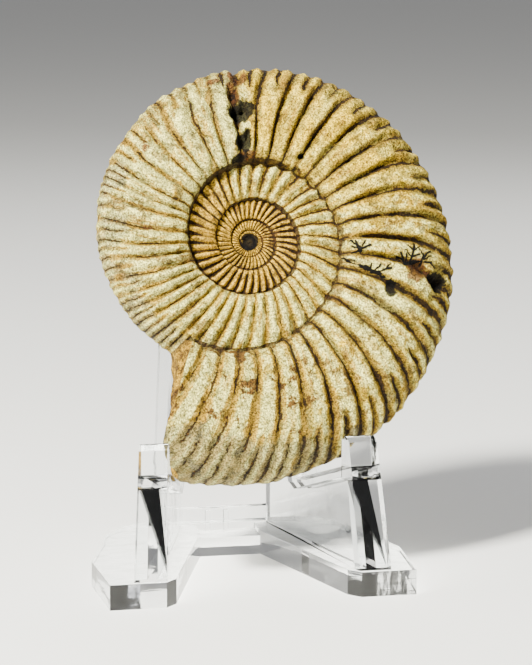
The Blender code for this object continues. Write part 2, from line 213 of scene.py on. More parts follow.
def value_noise(points, cell, seed):
    """Random lattice values from -1 to 1, blended between the eight lattice points around each point."""
    lattice = np.random.default_rng(seed).uniform(-1.0, 1.0, (32, 32, 32))
    low = np.floor(points / cell).astype(int)
    share = points / cell - low
    share = share * share * (3.0 - 2.0 * share)
    total = np.zeros(points.shape[:-1])
    for corner in itertools.product((0, 1), repeat=3):
        weight = np.prod(np.where(np.array(corner) == 1, share, 1.0 - share), axis=-1)
        at = (low + corner) % 32
        total += weight * lattice[at[..., 0], at[..., 1], at[..., 2]]
    return total


def rib_lift(angle, ratio, jitter):
    """Broad crests with narrow furrows outside, narrow ridges inside; both fade at the seam."""
    count = rib_count(angle - rib_sweep(angle, ratio)) + jitter
    width = 0.15 + 0.12 * (1.0 - smooth_ramp(235.0, 275.0, angle)) + 0.03 * smooth_ramp(0.7, 1.0, ratio)
    furrow = np.exp(-(from_furrow(count) / width) ** 2)
    branch = np.exp(-(from_furrow(branch_count(count, ratio)) / (0.8 * width)) ** 2)
    branch = branch * smooth_ramp(0.80, 0.93, ratio)
    broad = 1.0 - np.maximum(furrow, 0.9 * branch)
    ridge = np.exp(-((0.5 - from_furrow(count)) / 0.22) ** 2)
    inside = 1.0 - smooth_ramp(20.0, 126.0, angle)
    relief = broad + (ridge - broad) * inside
    fade = smooth_ramp(SEAM + 0.015, SEAM + 0.10, ratio)
    size = RIB_HEIGHT * (1.0 - RIM_FLATTER * smooth_ramp(0.82, 1.0, ratio)) * (1.0 + 0.35 * inside)
    size = size * (1.0 - MOUTH_FLATTER * smooth_ramp(418.0, 450.0, angle))
    return size * rim_radius(angle) * fade * (relief - 0.6)


def hollow_depth(angle, ratio):
    """The sum of depth * exp(-(da^2 + dr^2) ^ 1.5) over the hollows: bowls with soft edges."""
    depth = np.zeros(np.shape(angle))
    for at_angle, at_ratio, half_angle, half_ratio, deep in HOLLOWS:
        away = ((angle - at_angle) / half_angle) ** 2 + ((ratio - at_ratio) / half_ratio) ** 2
        depth = depth + deep * np.exp(-away ** 1.5)
    return depth


print("ribs from the middle to the mouth", int(rib_count(MOUTH_START) - rib_count(-1200.0)))


# %% [markdown]
# One closed skin for the whole coil. Columns run along the spiral and follow the ribs, rows run from the seam
# to the rim. The first row of a whorl is the seam row of the whorl below it, and the two rims are one, so the
# grid is welded by number. Inner whorls and the back take fewer rows and columns, because less shows there.

# %% Lay out the grid of the coil
STEP = 0.5
TURN_COLUMNS = int(360.0 / STEP)
SEAM_SHIFT = TURN_COLUMNS + int(INNER_SWEEP / STEP)
COLUMNS = 3460
# The first column whose outer flank isn't covered by a later whorl
EXPOSED = COLUMNS - SEAM_SHIFT
INNER_ROWS = 32
OUTER_ROWS = 28
ROWS = INNER_ROWS + OUTER_ROWS
MOUTH_LAYERS = 14


def equal_rows(low, high, count):
    """Ratios at equal steps of arc length along the section, from low to high."""
    fine = low + (high - low) * (1.0 - (1.0 - np.linspace(0.0, 1.0, 2001)) ** 2)
    steps = np.hypot(np.diff(fine), HALF_THICKNESS * np.diff(section_height(fine)))
    length = np.concatenate(([0.0], np.cumsum(steps)))
    return np.interp(np.linspace(0.0, length[-1], count + 1), length, fine)


row_ratio = np.concatenate((equal_rows(SEAM, seam_on_last, INNER_ROWS),
                            equal_rows(seam_on_last, 1.0, OUTER_ROWS)[1:]))
start = MOUTH_START - STEP * (COLUMNS - np.arange(COLUMNS + 1))
column_start, even_ratio = np.meshgrid(start, row_ratio, indexing="ij")
own_seam = seam_ratio(column_start)
back_to_even = 1.0 - smooth_ramp(start[EXPOSED], start[EXPOSED] + 60.0, column_start)
covered_from = seam_ratio(column_start + SEAM_SHIFT * STEP) - SEAM
covered_from = (SEAM + covered_from * back_to_even) * turn_growth
inner_share = (even_ratio - SEAM) / (seam_on_last - SEAM)
outer_share = (even_ratio - seam_on_last) / (1.0 - seam_on_last)
ratio = np.where(inner_share <= 1.0, own_seam + inner_share * (covered_from - own_seam),
                 covered_from + outer_share * (1.0 - covered_from))


def grid_angle(side):
    """Columns follow the ribs and bend into the broken edge, which slants away behind (side -1)."""
    along_rib = column_start + rib_sweep(column_start, ratio)
    along_mouth = np.interp(ratio, MOUTH_RATIOS, MOUTH_ANGLES) + column_start - MOUTH_START
    if side < 0:
        along_mouth = along_mouth - (MOUTH_SLANT * section_height(ratio, own_seam)
                                     * smooth_ramp(own_seam, own_seam + 0.03, ratio))
    near_mouth = smooth_ramp(MOUTH_START - MOUTH_BLEND, MOUTH_START, column_start)
    return along_rib + (along_mouth - along_rib) * near_mouth


print("columns", COLUMNS, "rows", ROWS, "first angle", start[0], "exposed from", start[EXPOSED])


# %% [markdown]
# Each place of the grid becomes a point on the plain section, which then moves along the section's own normal
# by the height of the ribs and the roughness, less the depth of the hollows. A displacement modifier could do
# the same, but here the front has hollows and the back has none, and the rim has to stay one line.

# %% Points of the shell
# Full roughness where the rim's radius has this length, and less on the smaller whorls
FULL_ROUGH_RADIUS = 45.0 * MM
RIM_FROM = 0.999


def section_normal(ratio):
    """Across and up parts of the section's outward normal, from the slope of height over ratio."""
    low = np.maximum(ratio - 0.001, own_seam)
    high = np.minimum(ratio + 0.001, 1.0)
    rise = HALF_THICKNESS * (section_height(high, own_seam) - section_height(low, own_seam))
    length = np.hypot(high - low, rise)
    return -rise / length, (high - low) / length


def shell_points(side):
    """Points at (across * cos, -side * height, -across * sin): x right, y back, z up, before the lean."""
    angle = grid_angle(side)
    radius = rim_radius(angle)
    turn = np.radians(angle)
    plain = np.stack((ratio * radius * np.cos(turn),
                      -side * HALF_THICKNESS * radius * section_height(ratio, own_seam),
                      -ratio * radius * np.sin(turn)), axis=-1)
    size = np.clip(radius / FULL_ROUGH_RADIUS, 0.25, 1.0)
    uneven = sum(share * value_noise(plain, cell, seed) for share, cell, seed in ROUGHNESS)
    jitter = 0.16 * value_noise(plain, 9.0 * MM, 13) * smooth_ramp(SEAM, 0.6, ratio)
    lift = rib_lift(angle, ratio, jitter) * (1.0 + 0.3 * value_noise(plain, 4.0 * MM, 17))
    lift = lift + uneven * size * MM
    depth = hollow_depth(angle, ratio) if side > 0 else np.zeros_like(angle)
    ragged = 1.0 + 0.5 * value_noise(plain, 1.0 * MM, 19)
    lift = lift - depth * ragged
    lift = lift - BREAK_DEPTH * smooth_ramp(*BREAK_EDGE, angle) * smooth_ramp(*BREAK_END, angle)
    lift = lift * smooth_ramp(start[0], start[0] + 60.0, angle)
    across_part, up_part = section_normal(ratio)
    across_part = np.where(ratio > RIM_FROM, 1.0, across_part)
    up_part = np.where(ratio > RIM_FROM, 0.0, up_part)
    moved = plain + np.stack((lift * across_part * np.cos(turn), -side * lift * up_part,
                              -lift * across_part * np.sin(turn)), axis=-1)
    return moved, depth


front_points, front_depth = shell_points(1)
back_points, back_depth = shell_points(-1)
print("deepest hollow", round(float(front_depth.max()) / MM, 1), "mm")


# %% [markdown]
# Every grid place gets the number of the vertex that stands for it: coarser steps inside, the seam below,
# the rim shared by both sides. The corners keep their own place in the grid too, because the colour at a
# seam differs from one whorl to the next although both share the same points.

# %% Number the vertices and join them
PLACES = (COLUMNS + 1) * (ROWS + 1)


def place_number(column, row, side):
    """The number of a grid place: side * places + column * (rows + 1) + row, with 0 for the front."""
    return side * PLACES + column * (ROWS + 1) + row


def own_number(column, row, side):
    """The number of the place that stands for this one, after coarser steps and the shared rim."""
    inwards = EXPOSED - column
    column_step = np.where(inwards <= 0, 1, np.where(inwards <= 2 * TURN_COLUMNS, 2, 4))
    row_step = np.where(side == 1, np.minimum(column_step * 2, 4), column_step)
    column = np.where(column == COLUMNS, column, column // column_step * column_step)
    row = row // row_step * row_step
    return place_number(column, row, np.where(row == ROWS, 0, side))


def vertex_number(column, row, side):
    """own_number, after a first row has been taken down to the seam row of the whorl below."""
    on_seam = (row == 0) & (column >= SEAM_SHIFT)
    return own_number(np.where(on_seam, column - SEAM_SHIFT, column),
                      np.where(on_seam, INNER_ROWS, row), side)


def grid_quads(first, last, rows, side):
    """Corner places (quads, 4) of a block of columns and rows, turned so that they face outwards."""
    column, row = np.meshgrid(np.arange(first, last), np.arange(rows), indexing="ij")
    column, row = column.ravel(), row.ravel()
    corners = [(column, row), (column, row + 1), (column + 1, row + 1), (column + 1, row)]
    if side == 0:
        corners = corners[::-1]
    return np.stack([np.stack((c, r, np.full_like(c, side))) for c, r in corners], axis=-1)


blocks = []
for side in (0, 1):
    blocks.append(grid_quads(0, EXPOSED, INNER_ROWS, side))
    blocks.append(grid_quads(EXPOSED, COLUMNS, ROWS, side))
quads = np.concatenate(blocks, axis=1)
triangles = np.concatenate((quads[:, :, (0, 1, 2)], quads[:, :, (0, 2, 3)]), axis=1)
corner_place = place_number(*triangles)
corner_vertex = vertex_number(*triangles)
# Coarser steps leave triangles with two corners in one vertex, which are dropped
whole = ((corner_vertex[:, 0] != corner_vertex[:, 1]) & (corner_vertex[:, 1] != corner_vertex[:, 2])
         & (corner_vertex[:, 2] != corner_vertex[:, 0]))
corner_place, corner_vertex = corner_place[whole], corner_vertex[whole]
points = np.concatenate((front_points.reshape(-1, 3), back_points.reshape(-1, 3)))
print("skin triangles", len(corner_vertex))


# %% [markdown]
# The coil starts in a small pit in the middle, closed by two shallow fans. At its other end the shell is
# broken off: a rough face between the last section and the whorl that it grew over. Both are made from
# numbers that the grid already has, so the solid stays closed.

# %% Close the middle and the mouth
def fan(loop, tip, turned):
    """Triangles from each edge of a loop to a tip point."""
    loop = loop[np.concatenate(([True], loop[1:] != loop[:-1]))]
    following = np.roll(loop, -1)
    keep = loop != following
    loop, following = loop[keep], following[keep]
    ends = (following, loop) if turned else (loop, following)
    return np.stack((*ends, np.full_like(loop, tip)), axis=-1)


PIT_TIP = 0.3 * MM
# The broken face: height of the bumps in millimetres, their size, seed
MOUTH_ROUGHNESS = ((0.9, 2.5 * MM, 23), (0.5, 1.0 * MM, 29))
MOUTH_DEPTH = 0.5
extra_points = [np.array([[0.0, -PIT_TIP, 0.0], [0.0, PIT_TIP, 0.0]])]
extra_triangles = []
for side in (0, 1):
    along = np.arange(0, SEAM_SHIFT)
    down = np.arange(INNER_ROWS, 0, -1)
    loop = np.concatenate((vertex_number(along, np.zeros_like(along), np.full_like(along, side)),
                           vertex_number(np.zeros_like(down), down, np.full_like(down, side))))
    extra_triangles.append(fan(loop, 2 * PLACES + side, side == 0))

around_row = np.concatenate((np.arange(0, ROWS + 1), np.arange(ROWS - 1, -1, -1)))
around_side = np.concatenate((np.zeros(ROWS + 1, int), np.ones(ROWS, int)))
outer_ring = vertex_number(np.full_like(around_row, COLUMNS), around_row, around_side)
inner_ring = vertex_number(np.full_like(around_row, EXPOSED), np.maximum(around_row, INNER_ROWS), around_side)
share = np.arange(1, MOUTH_LAYERS)[:, None, None] / MOUTH_LAYERS
layers = points[outer_ring] * (1.0 - share) + points[inner_ring] * share
mouth_turn = math.radians(MOUTH_START)
forwards = np.array([-math.sin(mouth_turn), 0.0, -math.cos(mouth_turn)])
rough = sum(high * value_noise(layers, cell, seed) for high, cell, seed in MOUTH_ROUGHNESS) - MOUTH_DEPTH
rough = rough * MM * np.sin(math.pi * share[..., 0]) ** 0.5
layers = layers + rough[..., None] * forwards
extra_points.append(layers.reshape(-1, 3))
layer_number = 2 * PLACES + 2 + np.arange(layers.shape[0] * layers.shape[1]).reshape(layers.shape[:2])
# At both ends of the rings the two sections meet in one point
layer_number[:, 0] = outer_ring[0]
layer_number[:, -1] = outer_ring[-1]
band = np.concatenate((outer_ring[None], layer_number, inner_ring[None]))
near, far = band[:, :-1], band[:, 1:]
mouth = np.stack((near[:-1], far[:-1], far[1:], near[1:]), axis=-1).reshape(-1, 4)
mouth = np.concatenate((mouth[:, (0, 1, 2)], mouth[:, (0, 2, 3)]))
# Turned round, so that the faces look out of the mouth
mouth = mouth[:, ::-1]
keep = (mouth[:, 0] != mouth[:, 1]) & (mouth[:, 1] != mouth[:, 2]) & (mouth[:, 2] != mouth[:, 0])
extra_triangles.append(mouth[keep])
print("mouth triangles", int(keep.sum()))


# %% [markdown]
# The numbers become one mesh of triangles. Its volume and its open edges are worked out from the numbers
# alone: a positive volume means that the faces look outwards, and no open edge means that the stone is
# closed, which is easier to trust than a look at the picture.

# %% Make the mesh of the shell
def make_mesh(name, points, corners):
    """A mesh of triangles from whole arrays of points (n, 3) and corner numbers (m, 3)."""
    mesh = bpy.data.meshes.new(name)
    mesh.vertices.add(len(points))
    mesh.vertices.foreach_set("co", points.astype(np.float32).ravel())
    mesh.loops.add(corners.size)
    mesh.loops.foreach_set("vertex_index", corners.astype(np.int32).ravel())
    mesh.polygons.add(len(corners))
    mesh.polygons.foreach_set("loop_start", np.arange(0, corners.size, 3, dtype=np.int32))
    mesh.update(calc_edges=True)
    mesh.validate()
    made = bpy.data.objects.new(name, mesh)
    bpy.context.scene.collection.objects.link(made)
    return made


def volume(points, corners):
    """The sum of a . (b x c) / 6 over the triangles: positive when they face outwards."""
    a, b, c = (points[corners[:, k]] for k in range(3))
    return float(np.einsum("ij,ij->i", a, np.cross(b, c)).sum() / 6.0)


def open_edges(corners):
    """How many directed edges have no partner running the other way, and how many are there twice."""
    edges = np.concatenate([corners[:, (k, (k + 1) % 3)] for k in range(3)]).astype(np.int64)
    there = edges[:, 0] * (corners.max() + 1) + edges[:, 1]
    back = edges[:, 1] * (corners.max() + 1) + edges[:, 0]
    return len(np.setdiff1d(there, back)), len(there) - len(np.unique(there))


all_points = np.concatenate([points, *extra_points])
all_vertex = np.concatenate([corner_vertex, *extra_triangles])
all_place = np.concatenate([corner_place, *extra_triangles])
used, packed = np.unique(all_vertex, return_inverse=True)
used_points = all_points[used]
shell_corners = packed.reshape(-1, 3)
shell = make_mesh("ammonite_stone", used_points, shell_corners)
print("triangles", len(shell_corners), "volume ml", round(volume(used_points, shell_corners) * 1e6, 1),
      "open and doubled edges", open_edges(shell_corners))


# %% [markdown]
# The stone isn't stained at random: iron red sits around the break, yellow on a few ribs, and ochre, dark
# lines and pale crust come and go along the coil, while black painted shade fills the hollows and the middle
# pit. Spots and stops along the coil say how much of each there is. They could be painted by hand, but
# numbers in a table are easier to move.

# %% Tables of stains
# Painted shade in the hollows, iron red and yellow spots: angle, ratio, half width in degrees, half height,
# amount
HOLLOW_SHADE_SPOTS = ((267.3, 0.712, 6.8, 0.066, 1.2), (266.4, 0.535, 6.0, 0.060, 1.2),
              (269.4, 0.586, 2.6, 0.03, 0.9), (303.2, 0.491, 2.6, 0.022, 0.9),
              (376.9, 0.900, 4.4, 0.062, 1.1), (385.2, 0.660, 4.4, 0.036, 1.0),
              (262.0, 0.450, 9.0, 0.028, 0.8), (269.5, 0.94, 1.8, 0.07, 0.5), (377.5, 0.46, 1.3, 0.05, 0.6),
              (324.6, 0.627, 1.4, 0.018, 0.7), (248.0, 0.445, 8.0, 0.02, 0.5), (372.5, 0.86, 1.6, 0.03, 0.6))
RED_SPOTS = ((375.3, 0.763, 5.2, 0.060, 1.1), (265.0, 0.82, 3.0, 0.10, 1.0), (264.6, 0.66, 3.6, 0.05, 0.9),
             (268.6, 0.93, 4.4, 0.06, 1.1), (260.0, 0.935, 5.0, 0.035, 0.7),
             (222.0, 0.86, 5.0, 0.05, 0.55), (196.0, 0.72, 5.0, 0.05, 0.5), (186.0, 0.70, 3.0, 0.06, 0.5),
             (268.5, 0.462, 9.0, 0.032, 0.9), (377.0, 0.84, 5.0, 0.06, 0.6), (385.2, 0.66, 4.0, 0.04, 0.5),
             (379.0, 0.47, 3.0, 0.05, 0.4), (267.0, 0.71, 6.0, 0.06, 0.5))
YELLOW_SPOTS = ((283.0, 0.66, 7.0, 0.12, 0.9), (296.0, 0.62, 7.0, 0.12, 0.8),
                (312.0, 0.70, 9.0, 0.10, 0.8), (330.0, 0.68, 8.0, 0.12, 0.7),
                (346.0, 0.60, 8.0, 0.08, 0.6), (238.0, 0.62, 12.0, 0.10, 0.4),
                (210.0, 0.55, 14.0, 0.06, 0.5), (290.0, 0.86, 10.0, 0.06, 0.5),
                (420.0, 0.60, 14.0, 0.10, 0.4))
# Amounts along the coil, as stops of angle and amount
WARM = ((-1200, 0.9), (-300, 0.9), (-130, 0.85), (-100, 0.6), (0, 0.55), (90, 0.5), (126, 0.6), (160, 0.8),
        (200, 0.75), (240, 0.6), (275, 0.6), (330, 0.55), (370, 0.6), (430, 0.8), (450, 1.1), (480, 1.1))
LINES = ((-1200, 0.8), (-200, 1.0), (-100, 0.7), (20, 0.75), (100, 0.45), (135, 0.65), (200, 0.65),
         (250, 0.7), (275, 0.95), (340, 1.0), (400, 1.1), (425, 1.05), (448, 0.75), (486, 0.5))
PALE = ((-1200, 0.05), (-300, 0.1), (-130, 0.2), (-100, 0.6), (0, 0.6), (100, 0.7), (135, 0.7), (200, 0.95),
        (262, 1.05), (275, 0.2), (340, 0.4), (380, 0.65), (430, 0.6), (480, 0.7))
INNER = ((-1200, 1.0), (-130, 1.0), (-100, 0.35), (0, 0.25), (126, 0.1), (160, 0.0))
SEAM_DARKENING = ((-1200, 1.0), (126, 0.9), (230, 1.0), (285, 1.0), (310, 0.6), (486, 0.6))
RIM_GREY = ((120, 0.7), (205, 0.7), (230, 0.3), (270, 0.2), (380, 0.2), (430, 0.5), (450, 1.0), (486, 1.0))


def spots(table, angle, ratio):
    """The largest of amount * exp(-(da^2 + dr^2)) over the table's spots."""
    most = np.zeros_like(angle)
    for at_angle, at_ratio, half_angle, half_ratio, amount in table:
        away = ((angle - at_angle) / half_angle) ** 2 + ((ratio - at_ratio) / half_ratio) ** 2
        most = np.maximum(most, amount * np.exp(-away))
    return most


def along_coil(angle, stops):
    """A value read along the coil from its stops, straight between them."""
    at, value = zip(*stops)
    return np.interp(angle, at, value)


print("spots", len(HOLLOW_SHADE_SPOTS), "dark", len(RED_SPOTS), "red", len(YELLOW_SPOTS), "yellow")


# %% [markdown]
# Each corner of a triangle carries what the colour needs to know of its place: the rib count, the height on
# the whorl and how much of each stain there is. They are kept by corner and not by point, because the seam's
# points belong to two whorls of different colour.

# %% What each corner knows
flat_angle = np.concatenate((grid_angle(1).ravel(), grid_angle(-1).ravel()))
flat_ratio = np.tile(ratio.ravel(), 2)
flat_start = np.tile(column_start.ravel(), 2)
on_front = np.repeat((1.0, 0.0), PLACES)
extras = len(all_points) - 2 * PLACES
PIT_RADIUS, PIT_CORE = 3.2 * MM, 1.5 * MM


def corner_values(values, rest):
    """Values by place, with one value for the fans and the mouth, read at every corner."""
    return np.concatenate((values, np.full(extras, rest)))[all_place].ravel()


def give(name, kind, values):
    """Stores one number or one colour with every corner of the shell."""
    layer = shell.data.attributes.new(name, kind, "CORNER")
    layer.data.foreach_set("value" if kind == "FLOAT" else "color", values.astype(np.float32).ravel())


is_mouth = np.zeros(all_place.shape)
is_mouth[-len(extra_triangles[-1]):] = 1.0
give("rib_count", "FLOAT", corner_values(rib_count(flat_angle - rib_sweep(flat_angle, flat_ratio)), 0.0))
give("height", "FLOAT", corner_values(flat_ratio, 0.5))
inside = 1.0 - smooth_ramp(60.0, 126.0, flat_start)
rim = smooth_ramp(0.74, 0.92, flat_ratio)
grey = along_coil(flat_angle, RIM_GREY) * rim * (1.0 - inside)
give("stone_tint", "FLOAT_COLOR", np.stack((corner_values(along_coil(flat_angle, WARM), 0.8),
                                            corner_values(along_coil(flat_angle, LINES), 0.2),
                                            corner_values(along_coil(flat_angle, PALE), 0.2),
                                            corner_values(grey, 0.0)), axis=-1))
own_edge = np.tile(own_seam.ravel(), 2)
covered_edge = np.tile(covered_from.ravel(), 2)
# Darker along the seams, on both whorls that meet there
seam_darkening = np.maximum(smooth_ramp(own_edge + 0.035, own_edge, flat_ratio),
                       smooth_ramp(covered_edge - 0.05, covered_edge, flat_ratio)
                       * (flat_start < start[EXPOSED]))
seam_darkening = seam_darkening * along_coil(flat_angle, SEAM_DARKENING)
# Painted shade: black on the hollows' spots and in the middle pit, and more black the deeper a hollow is
hollow_shade, iron, sand = (spots(table, flat_angle, flat_ratio) * on_front
                    for table in (HOLLOW_SHADE_SPOTS, RED_SPOTS, YELLOW_SPOTS))
pit = smooth_ramp(PIT_RADIUS, PIT_CORE, flat_ratio * rim_radius(flat_angle))
hollow = np.concatenate((front_depth.ravel(), back_depth.ravel())) / (1.5 * MM)
hollow_shade = np.maximum(np.maximum(hollow_shade, pit), np.clip(hollow - 0.5, 0.0, 0.8))
give("stain_and_painted_shade", "FLOAT_COLOR", np.stack((corner_values(hollow_shade, 1.0), corner_values(iron, 0.0),
                                            corner_values(sand, 0.0), corner_values(seam_darkening, 0.0)),
                                           axis=-1))
give("inner", "FLOAT", corner_values(along_coil(flat_angle, INNER), 0.5))
give("broken", "FLOAT", is_mouth.ravel())
place_layer = shell.data.attributes.new("coil_place", "FLOAT_VECTOR", "POINT")
place_layer.data.foreach_set("vector", used_points.astype(np.float32).ravel())
print("attributes", [layer.name for layer in shell.data.attributes if not layer.name.startswith(".")])


# %% [markdown]
# The coil was worked out flat, with its axis level. The real one leans back on the rails of its stand, a
# little turned, so the mesh itself is turned and moved there and the object stays at the origin. Where each
# point was before is kept as an attribute, so the grain and the stains turn with the stone.

# %% Lean the shell on its stand
lean = Matrix.Rotation(math.radians(-COIL_LEAN), 4, "X")
turned = Matrix.Rotation(math.radians(COIL_TURN), 4, "Z")
shell.data.transform(Matrix.Translation(COIL_CENTRE) @ turned @ lean)
shell.data.shade_smooth()
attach(shell, "root")
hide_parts("ammonite")
shell_box = np.array([vertex.co for vertex in shell.data.vertices])
print("shell from", np.round(shell_box.min(0) * 1e3, 1), "to", np.round(shell_box.max(0) * 1e3, 1), "mm")


# %% [markdown]
# Materials here are trees of small nodes. Made one by one in code they take many lines each, so a few helpers
# add a node, join it up and hand back its output. A constant goes straight into the socket.

# %% Helpers for node trees
def add_node(tree, kind, **settings):
    """A new node with its settings."""
    node = tree.nodes.new(kind)
    for name, value in settings.items():
        setattr(node, name, value)
    return node


def wire(tree, value, socket):
    """Joins an output to a socket, or sets the socket to a constant."""
    if isinstance(value, bpy.types.NodeSocket):
        tree.links.new(value, socket)
    else:
        socket.default_value = value


def math_node(tree, operation, *values, clamp=False):
    """One step of arithmetic on outputs or constants."""
    node = add_node(tree, "ShaderNodeMath", operation=operation, use_clamp=clamp)
    for value, socket in zip(values, node.inputs):
        wire(tree, value, socket)
    return node.outputs[0]


def vector_node(tree, operation, *values, output=0):
    """One step of arithmetic on vectors."""
    node = add_node(tree, "ShaderNodeVectorMath", operation=operation)
    for value, socket in zip(values, node.inputs):
        wire(tree, value, socket)
    return node.outputs[output]


def ramp(tree, value, low, high, to_low=0.0, to_high=1.0):
    """smooth_ramp as a node, from one value at low to another at high."""
    node = add_node(tree, "ShaderNodeMapRange", interpolation_type="SMOOTHSTEP")
    for item, socket in zip((value, low, high, to_low, to_high), node.inputs):
        wire(tree, item, socket)
    return node.outputs[0]


def blend(tree, mask, below, above):
    """Lays a colour over another by a mask."""
    node = add_node(tree, "ShaderNodeMix", data_type="RGBA")
    wire(tree, mask, node.inputs[0])
    for value, socket in ((below, node.inputs[6]), (above, node.inputs[7])):
        wire(tree, (*value, 1.0) if isinstance(value, tuple) else value, socket)
    return node.outputs[2]


def noise(tree, place, scale, detail, roughness):
    """Grey noise around 0.5; a higher scale gives smaller spots."""
    node = add_node(tree, "ShaderNodeTexNoise")
    wire(tree, place, node.inputs["Vector"])
    for name, value in (("Scale", scale), ("Detail", detail), ("Roughness", roughness)):
        node.inputs[name].default_value = value
    return node.outputs["Fac"]


def read(tree, name, output="Fac"):
    """One of the mesh's own attributes."""
    node = add_node(tree, "ShaderNodeAttribute", attribute_type="GEOMETRY", attribute_name=name)
    return node.outputs[output]


print("node helpers ready")


# %% [markdown]
# Three effects come back again and again: a line along every furrow, a short stroke between two points, and
# a mask with a ragged edge. Each is a node group, so the stone's own tree stays short enough to read.

# %% Three node groups
def new_group(name, inputs, outputs):
    """An empty node group with its sockets; returns the group, its input node and its output node."""
    group = bpy.data.node_groups.new(name, "ShaderNodeTree")
    for in_out, sockets in (("INPUT", inputs), ("OUTPUT", outputs)):
        for socket_name, kind in sockets:
            group.interface.new_socket(socket_name, in_out=in_out, socket_type=kind)
    return group, add_node(group, "NodeGroupInput"), add_node(group, "NodeGroupOutput")


def use_group(tree, group, *values):
    """Places a group in a tree and returns its outputs."""
    node = add_node(tree, "ShaderNodeGroup", node_tree=group)
    for value, socket in zip(values, node.inputs):
        wire(tree, value, socket)
    return node.outputs


FLOAT, VECTOR = "NodeSocketFloat", "NodeSocketVector"
line_group, line_in, line_out = new_group("Furrow line", (("Count", FLOAT), ("Width", FLOAT)),
                                          (("Mask", FLOAT),))
away = math_node(line_group, "PINGPONG", line_in.outputs["Count"], 0.5)
wire(line_group, ramp(line_group, away, line_in.outputs["Width"], 0.0), line_out.inputs["Mask"])

stroke_group, stroke_in, stroke_out = new_group(
    "Stroke", (("Place", VECTOR), ("From", VECTOR), ("To", VECTOR), ("Half width", FLOAT)),
    (("Distance", FLOAT),))
along = vector_node(stroke_group, "SUBTRACT", stroke_in.outputs["To"], stroke_in.outputs["From"])
offset = vector_node(stroke_group, "SUBTRACT", stroke_in.outputs["Place"], stroke_in.outputs["From"])
share = math_node(stroke_group, "DIVIDE", vector_node(stroke_group, "DOT_PRODUCT", offset, along, output=1),
                  vector_node(stroke_group, "DOT_PRODUCT", along, along, output=1), clamp=True)
scale = add_node(stroke_group, "ShaderNodeVectorMath", operation="SCALE")
wire(stroke_group, along, scale.inputs[0])
wire(stroke_group, share, scale.inputs["Scale"])
length = vector_node(stroke_group, "LENGTH", vector_node(stroke_group, "SUBTRACT", offset, scale.outputs[0]),
                     output=1)
wire(stroke_group, math_node(stroke_group, "SUBTRACT", length, stroke_in.outputs["Half width"]),
     stroke_out.inputs["Distance"])

mask_group, mask_in, mask_out = new_group("Ragged mask", (("Amount", FLOAT), ("Noise", FLOAT)),
                                          (("Mask", FLOAT),))
from_middle = math_node(mask_group, "SUBTRACT", mask_in.outputs["Noise"], 0.5)
spread = math_node(mask_group, "MULTIPLY_ADD", from_middle, 1.3, mask_in.outputs["Amount"])
wire(mask_group, ramp(mask_group, spread, 0.38, 0.62), mask_out.inputs["Mask"])
print("node groups", [group.name for group in bpy.data.node_groups])


# %% [markdown]
# Limestone: cream on the crests, ochre in the furrows, with thin brown to black lines where dirt has stayed.
# A pale crust lies over the older stone and a grey green bloom on the rim. On the right the black trees of a
# manganese stain have grown, which are short strokes here. A picture could hold all this, but it would only
# fit this one shell from one side; strokes, noise and the corners' values colour it all round.

# %% Colours and strokes of the stone
# Strokes of the manganese stain: from x, z to x, z in the plane of the coil, half width, in millimetres
STROKES = (
    (23.3, -2.4, 24.4, -3.7, 0.20), (24.3, -2.6, 24.9, -4.3, 0.20), (26.2, -3.2, 25.3, -4.6, 0.20),
    (27.5, -4.1, 25.5, -4.9, 0.22), (24.4, -3.7, 25.3, -5.4, 0.31), (25.3, -5.1, 23.3, -5.5, 0.20),
    (23.5, -4.0, 25.3, -4.9, 0.20), (21.5, -6.4, 22.7, -7.7, 0.18), (22.7, -7.7, 24.3, -8.8, 0.20),
    (24.3, -8.8, 26.0, -10.0, 0.25), (25.8, -9.5, 27.4, -10.6, 0.41), (27.4, -10.6, 29.3, -11.4, 0.38),
    (27.9, -10.6, 29.5, -9.2, 0.20), (28.8, -10.9, 32.1, -10.1, 0.20), (30.3, -10.5, 31.8, -9.3, 0.16),
    (28.4, -11.1, 30.3, -12.2, 0.20), (26.7, -10.0, 27.3, -8.9, 0.18), (35.4, -9.2, 38.3, -8.6, 0.41),
    (36.1, -8.7, 34.8, -6.4, 0.22), (35.3, -7.6, 34.0, -7.3, 0.16), (37.3, -8.6, 38.7, -4.0, 0.25),
    (38.0, -5.7, 36.8, -4.6, 0.18), (37.9, -6.2, 39.9, -4.8, 0.20), (37.6, -7.4, 39.7, -6.9, 0.20),
    (38.3, -8.6, 40.2, -8.4, 0.20), (36.4, -8.5, 36.3, -6.7, 0.18), (37.3, -7.2, 36.1, -5.7, 0.16),
    (40.1, -9.4, 40.9, -6.7, 0.22), (40.8, -7.2, 39.9, -5.6, 0.16), (40.7, -7.7, 42.8, -6.0, 0.20),
    (41.0, -8.6, 42.9, -8.7, 0.18), (41.0, -7.9, 42.9, -7.3, 0.16), (42.6, -8.9, 43.8, -10.0, 0.18),
)
CREAM, IVORY, YELLOW = (0.92, 0.70, 0.10), (0.98, 0.91, 0.27), (0.93, 0.62, 0.03)
ORANGE = (0.86, 0.50, 0.04)
OCHRE, BROWN, BLACK = (0.54, 0.31, 0.02), (0.040, 0.016, 0.004), (0.004, 0.003, 0.002)
MOSS, RUST, UMBER = (0.36, 0.37, 0.20), (0.15, 0.048, 0.010), (0.17, 0.083, 0.014)
print("strokes", len(STROKES))


# %% [markdown]
# The stone's material starts by reading what the mesh knows of each place. Four amounts fit into one colour
# attribute, its red, green, blue and alpha, so they are taken apart again here.

